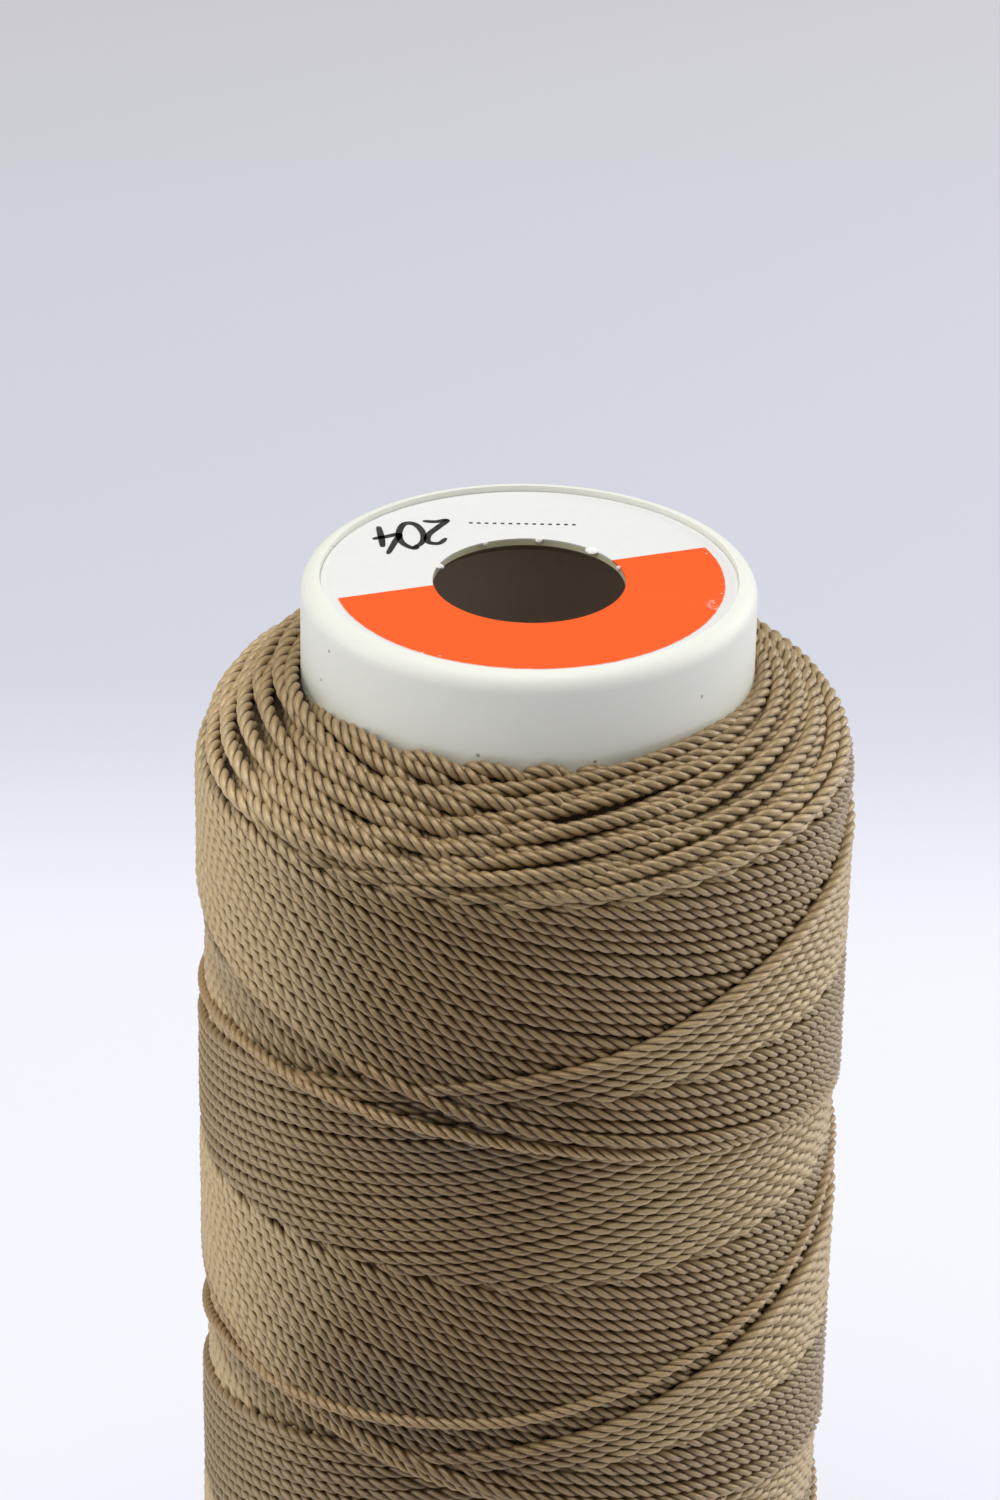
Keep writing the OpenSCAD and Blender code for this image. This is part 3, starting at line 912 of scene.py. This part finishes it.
def band_gleam(side, band, over, inside):
    """Painted highlight and shade of a thread of a band, by its angle and its place in the band.
    """
    return ((0.3 + 0.2 * smoothstep(8, 30, np.abs(side)) + 0.5 * smoothstep(30, 75, np.abs(side))
             + 0.32 * smoothstep(16, 36, -side)) * (0.6 + 0.1 * band)
            * (1 - 0.12 * smoothstep(45, 80, side))
            * (1 - 0.8 * over * (1 - smoothstep(0.0, 1.1, inside)))
            * (0.68 + over * BAND_GLEAM[band]))


def band_runs(band):
    """Threads of one band: those from the left go in under the last one from the right."""
    runs = []
    out_at = LAST_OUT[band]
    first = slid(out_at, False) + 0.25             # start of the last thread from the right
    for left in (True, False):
        side = (np.arange(-182.0, out_at + 6, BAND_TURN) if left
                else np.arange(out_at - 75, 182.0, BAND_TURN))
        upper, edge = lower_gap(side, band), lower_gap(side, band + 1) + BAND_EDGE
        over = overhung(side)
        cover = upper - HALF + first - slid(side, False)
        for j in range(-9, 3):
            start = (-j if left else j - 2) * BAND_STEP + lay_rng.normal(0, 0.06)
            if not left:
                start += first
                start -= ((start + BAND_STEP / 2) % BAND_STEP - BAND_STEP / 2) * smoothstep(
                    90, 175, side)                 # both sides meet thread to thread behind
            raw = upper - HALF + start - slid(side, left) + sway(len(side), 0.03)
            dist, tucked = tuck(side, raw, band)
            below = edge - dist
            sink_out = ((1 - over) * smoothstep(0.0, 1.75, below)
                        + over * smoothstep(0.35, 1.15, below))
            stop = edge - 1.2 * (1 - over)
            dist = stop + BLUNT * np.logaddexp(0.0, (dist - stop) / BLUNT)
            crossed = 1 - smoothstep(0.15, 1.05, dist - cover) if left else np.zeros_like(side)
            sink = np.maximum.reduce([tucked, sink_out, crossed])
            inside = upper - dist                  # about HALF beside the upper line
            lift = (over * 0.42 * smoothstep(0.6, 1.4, inside)
                    + (1 - over) * 0.3 * (1 - smoothstep(0.7, 1.4, inside)))
            proud = lift - BAND_SUNK * sink + sway(len(side), 0.02)
            gleam = band_gleam(side, band, over, inside)
            for a, b in stretches((sink < 0.985) & (below < 1.8)):
                a, b = max(a - 2, 0), min(b + 2, len(side))
                runs.append(Run(side[a:b], dist[a:b], proud[a:b],
                                0.15 + 0.2 * lay_rng.uniform(), gleam[a:b],
                                BAND_FLAT, band_lay(side[a:b]), BAND_THICK))
    return runs


shoulder = []
for band in range(LAST_LINE):
    shoulder += band_runs(band)
# One more thread lies below the last band, from the front round the right
side = np.arange(-12.0, 172.0, BAND_TURN)
sink = np.maximum(1 - smoothstep(-12, 8, side), smoothstep(140, 170, side))
# Its gleam is painted highlight, growing towards the right
shoulder.append(Run(
    side, lower_gap(side, LAST_LINE) - 0.62 + 0.3 * (1 - smoothstep(-12, 20, side)),
    0.14 - 1.2 * sink + sway(len(side), 0.02), 0.3, 0.3 + 0.5 * smoothstep(15, 75, side),
    BAND_FLAT, band_lay(side), BAND_THICK))
wound_pieces("shoulder_turns", shoulder)


# ------------------------------------------------------------ winding, foot
# At the foot the strokes turn back side by side round the lower edge, where
# they lie in six turns of the same thread, pulled tight.

FOOT_TURNS = 6
FOOT_FROM = 5.9             # distance of the uppermost turn
FOOT_STEP = 1.08            # from one turn to the next

theta = np.arange(0.0, 360 * FOOT_TURNS, 0.9)
edge = np.maximum(FOOT_FROM - FOOT_STEP * theta / 360, RIM_DIST[0] + 0.6)
wound_pieces("foot_turns", [Run(theta, edge, -0.1 + sway(len(theta), 0.03), 0.0, 0.3)])


# ------------------------------------------------------- winding, last wrap
# The end of the thread, laid over the finished winding: it leaves the newest
# falling stroke, turns back below the head, and runs down to the foot.

LAST_LAY = 3.0              # it is twisted more tightly, and so is thinner
LAST_THICK = 0.92
LAST_LIFT = 0.56            # how far it stands off the threads below it
LAST_SUNK = 1.5             # how deep it goes under them where it leaves the winding
LAST_EVEN = (15, 61)        # rings over which its course and its height are smoothed
# Its course, as angle and distance
LAST_WRAP = [(10, 56.0), (0, 57.0), (-33, 60.3), (-90, 65.4), (-180, 73.8), (-270, 82.3),
             (-315, 86.2), (-330, 87.2), (-340, 87.9), (-350, 88.9), (-360, 89.6),
             (-370, 90.2), (-390, 90.8), (-410, 91.2), (-425, 90.9), (-440, 90.1),
             (-480, 87.6), (-540, 83.2), (-600, 78.6), (-645, 75.0), (-660, 71.7),
             (-680, 68.8), (-700, 66.5), (-710, 65.4), (-720, 64.4), (-730, 63.8),
             (-750, 62.7), (-765, 62.0), (-790, 61.0), (-850, 55.0), (-930, 47.0), (-1010, 39.0),
             (-1080, 32.0), (-1160, 24.0), (-1215, 18.3), (-1248, 13.0), (-1266, 8.5),
             (-1276, 5.6), (-1280, 3.4), (-1280, RIM_DIST[0] + 0.1)]

knots = np.array(LAST_WRAP)[::-1]
passed = np.concatenate([[0], np.cumsum(np.hypot(*(np.diff(knots, axis=0) * (ARC, 1)).T))])
fine = np.arange(0, passed[-1], RING)
theta, dist = (evened(np.interp(fine, passed, knots[:, k]), LAST_EVEN[0]) for k in (0, 1))
near = np.maximum.reduce([surface(theta, dist + d) for d in (-0.5, 0.0, 0.5)])
proud = evened(near, LAST_EVEN[1]) + LAST_LIFT - LAST_SUNK * smoothstep(-14, 0, theta - theta[-1])
# Its gleam is painted highlight
last_run = Run(theta, dist, proud, 1.0, 0.35 + 0.5 * painted_gleam(theta, 1),
               lay=LAST_LAY, thick=LAST_THICK)
last = wound_pieces("last_wrap", [last_run])
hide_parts("outer_turns")


# --------------------------------------------------------- floor and light
# A wide plain floor in a pale tone, with painted shade that darkens it to the back, and soft light
# from both sides and from above. Distances here are in metres.

FLOOR_SIZE = 24.0

bpy.ops.object.select_all(action="DESELECT")
bpy.ops.mesh.primitive_plane_add(size=FLOOR_SIZE, location=(0, 0, 0))
floor = bpy.context.active_object
floor.name = "floor"
pale = Finish("pale_floor", Roughness=0.95)
_, along, _ = pale.parts(pale.place())
near = pale.blend(pale.step(along, 0.15, 0.235), tone(240, 241, 253), tone(211, 213, 227))
pale.feed("Base Color", pale.blend(pale.step(along, 0.24, 0.5), near, tone(216, 216, 225)))
floor.data.materials.append(pale.material)

world = bpy.data.worlds.new("studio")
bpy.context.scene.world = world
world.use_nodes = True
air = world.node_tree.nodes["Background"]
air.inputs["Color"].default_value = (1.0, 0.99, 0.94, 1.0)
air.inputs["Strength"].default_value = 0.26


def soft_box(name, place, aim, size, power, colour):
    lamp = bpy.data.lights.new(name, "AREA")
    lamp.shape, lamp.size, lamp.size_y = "RECTANGLE", size[0], size[1]
    lamp.energy, lamp.color = power, colour
    box = bpy.data.objects.new(name, lamp)
    box.location = place
    box.rotation_euler = (Vector(aim) - Vector(place)).to_track_quat("-Z", "Y").to_euler()
    bpy.context.scene.collection.objects.link(box)


soft_box("left_window", (-0.8, -0.1, 0.4), (0, 0, 0.08), (0.6, 0.6), 2.1, (1.0, 0.98, 0.94))
soft_box("right_window", (0.69, 0.32, 0.36), (0, 0, 0.08), (0.8, 0.6), 3.8, (1.0, 1.0, 0.98))
soft_box("top_light", (-0.1, -0.05, 0.95), (0, 0, 0.1), (0.8, 0.8), 5.95, (1.0, 1.0, 1.0))


# ------------------------------------------------------------------- camera
# Above the front, looking down on the head through a long lens, and rolled
# by one degree.

PITCH, ROLL, LENS = 27.891, 1.005, 123.94
CAMERA = Vector((-2.00886, -355.00633, 297.68046)) * MM

ahead = Vector((0, math.cos(math.radians(PITCH)), -math.sin(math.radians(PITCH))))
level = Vector((1, 0, 0))
over = level.cross(ahead)
roll = math.radians(ROLL)
right = level * math.cos(roll) + over * math.sin(roll)
upward = over * math.cos(roll) - level * math.sin(roll)
lens = bpy.data.cameras.new("camera")
lens.lens, lens.sensor_width = LENS, 36.0
lens.clip_start, lens.clip_end = 0.01, 20.0
camera = bpy.data.objects.new("camera", lens)
camera.matrix_world = Matrix.Translation(CAMERA) @ Matrix(
    (right, upward, -ahead)).transposed().to_4x4()
bpy.context.scene.collection.objects.link(camera)
bpy.context.scene.camera = camera
bpy.context.scene.view_settings.view_transform = "Standard"
